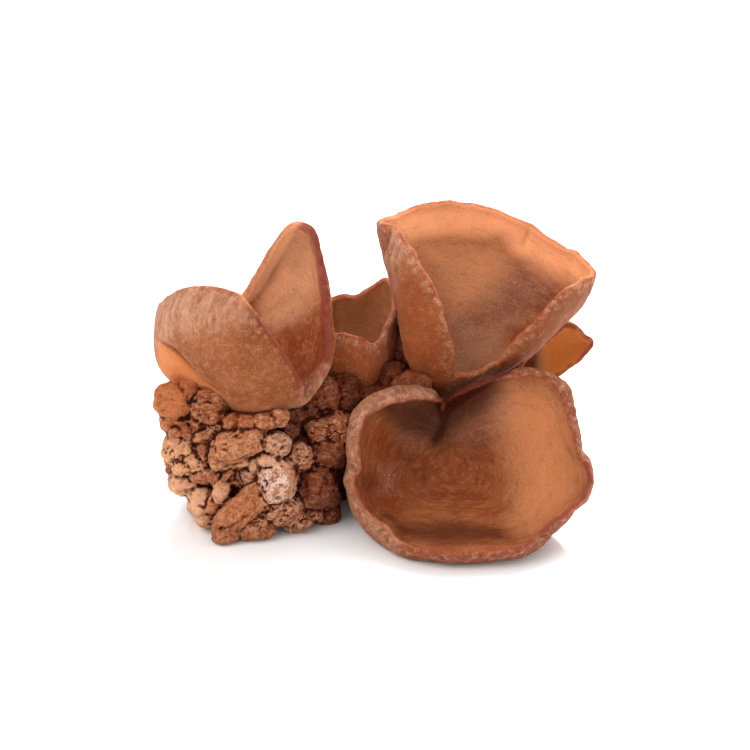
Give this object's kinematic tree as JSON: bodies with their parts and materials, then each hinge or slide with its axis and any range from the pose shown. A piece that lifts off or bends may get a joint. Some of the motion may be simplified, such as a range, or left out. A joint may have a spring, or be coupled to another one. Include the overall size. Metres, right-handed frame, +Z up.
{
  "type": "wood ear mushroom clump",
  "caption": "Fresh wood ear mushroom clump: thin folded cup-shaped ears grown on a knotted lumpy base, cut flat underneath so that it rests on a surface.",
  "frame": {"origin": "middle of the clump's box, on the surface that it stands on", "axes": "+Z up out of the flat cut, -Y towards the side that the wide open front ear faces, +X towards the tall ear's side"},
  "size_m": [0.1242, 0.0807, 0.082],
  "materials": {
    "ear_skin": "translucent orange-brown jelly-like flesh, smooth inside the cup, velvety with pale grains outside, purple-brown towards the rim",
    "knot_skin": "dull, finely cracked brown skin with a thin whitish bloom on some lumps"
  },
  "bodies": {
    "root": {"knot": "knot_skin", "front_ear": "ear_skin", "tall_ear": "ear_skin", "left_ear": "ear_skin", "middle_ear": "ear_skin", "rear_ear": "ear_skin"}
  },
  "joints": []
}
